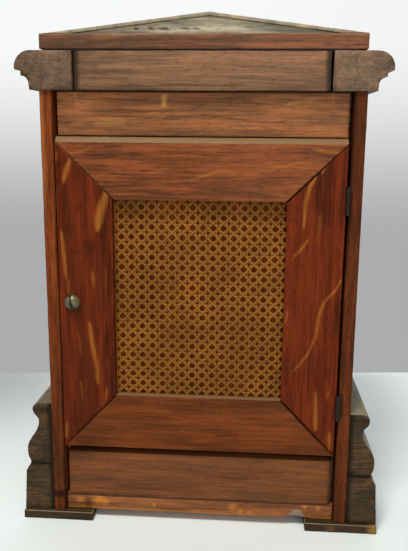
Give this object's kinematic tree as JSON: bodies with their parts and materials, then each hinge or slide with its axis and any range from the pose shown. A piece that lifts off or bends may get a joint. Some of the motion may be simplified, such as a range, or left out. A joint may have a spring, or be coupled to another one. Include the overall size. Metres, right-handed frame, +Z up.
{
  "type": "icebox",
  "caption": "Table-top oak icebox with moulded crown and stepped base, a side-hung door with a cane panel and turn-knob, and a gabled lift-up lid over a zinc ice tray.",
  "frame": {"origin": "centre of the bounding box in plan, on the plane the feet stand on", "axes": "+Z up, -Y towards the user facing the caned door, +X towards the door's hinges"},
  "size_m": [0.477, 0.3118, 0.659],
  "materials": {
    "oak_case": "worn varnished oak, orange-brown",
    "oak_rail": "worn varnished oak, red-brown",
    "oak_weathered": "dry oak, greyed",
    "oak_crown": "dry oak, grey-brown end grain",
    "oak_base": "dark stained oak, satin",
    "oak_back": "varnished oak, satin",
    "cork": "pressed cork slab, matt",
    "zinc_lining": "dull zinc sheet",
    "oak_inner": "plain oak, matt",
    "zinc_ware": "dull zinc sheet",
    "slat_wood": "bare wood, scrubbed",
    "tinned_wire": "tinned wire",
    "hinge_brass": "dark tarnished brass",
    "felt": "dark felt",
    "oak_door": "quarter-sawn oak, red-brown varnish with golden ray flecks",
    "cane": "aged woven cane, golden-olive",
    "oak_backing": "varnished board, orange-brown",
    "gasket_rubber": "black rubber",
    "knob_brass": "aged brass, slightly green",
    "oak_lid": "worn varnished oak"
  },
  "bodies": {
    "case": {"side_board_left": "oak_case", "side_board_right": "oak_case", "bottom_board": "oak_rail", "lower_rail": "oak_rail", "upper_rail": "oak_rail", "frieze_board": "oak_weathered", "crown_left": "oak_crown", "crown_right": "oak_crown", "crown_back": "oak_crown", "ogee_left": "oak_base", "ogee_right": "oak_base", "ogee_back": "oak_base", "plinth_left": "oak_base", "plinth_right": "oak_base", "plinth_back": "oak_base", "foot_front_left": "oak_base", "foot_front_right": "oak_base", "feet_back": "oak_base", "back_stiles": "oak_back", "back_rails": "oak_back", "back_panel": "oak_back", "cork_sides": "cork", "cork_back": "cork", "cork_floor": "cork", "cork_front": "cork", "zinc_sides": "zinc_lining", "zinc_back": "zinc_lining", "zinc_floor": "zinc_lining", "door_stop_posts": "oak_inner", "door_stop_head": "oak_inner", "door_stop_sill": "oak_inner", "shelf_battens": "oak_inner", "ice_tray": "zinc_ware", "drain_tube": "zinc_ware", "drip_pan": "zinc_ware", "ice_rack": "slat_wood", "floor_rack": "slat_wood", "food_shelf": "tinned_wire", "hinge_case_leaves": "hinge_brass", "hinge_pins": "hinge_brass", "lid_seal": "felt"},
    "door": {"door_stile_left": "oak_door", "door_stile_right": "oak_door", "door_rail_top": "oak_door", "door_rail_bottom": "oak_door", "cane_panel": "cane", "cane_backing": "oak_backing", "door_cork": "cork", "door_zinc_pan": "zinc_ware", "door_gasket": "gasket_rubber", "door_hinge_leaves": "hinge_brass"},
    "catch": {"catch_knob": "knob_brass", "catch_tongue": "knob_brass"},
    "lid": {"lid_board": "oak_lid", "gable_boards": "oak_weathered", "roof_left": "oak_weathered", "roof_right": "oak_weathered", "lid_insulation": "zinc_ware", "lid_hinge_leaves": "hinge_brass"}
  },
  "joints": [
    {"name": "door_hinge", "type": "hinge", "parent": "case", "child": "door", "pos_m": [0.1794, -0.15095, 0.3], "axis": [0, 0, 1], "range_deg": [0, 170]},
    {"name": "catch_turn", "type": "hinge", "parent": "door", "child": "catch", "pos_m": [-0.1636, -0.14755, 0.3058], "axis": [0, -1, 0], "range_deg": [0, 90]},
    {"name": "lid_hinge", "type": "hinge", "parent": "case", "child": "lid", "pos_m": [0, 0.11535, 0.6194], "axis": [-1, 0, 0], "range_deg": [0, 95]}
  ]
}
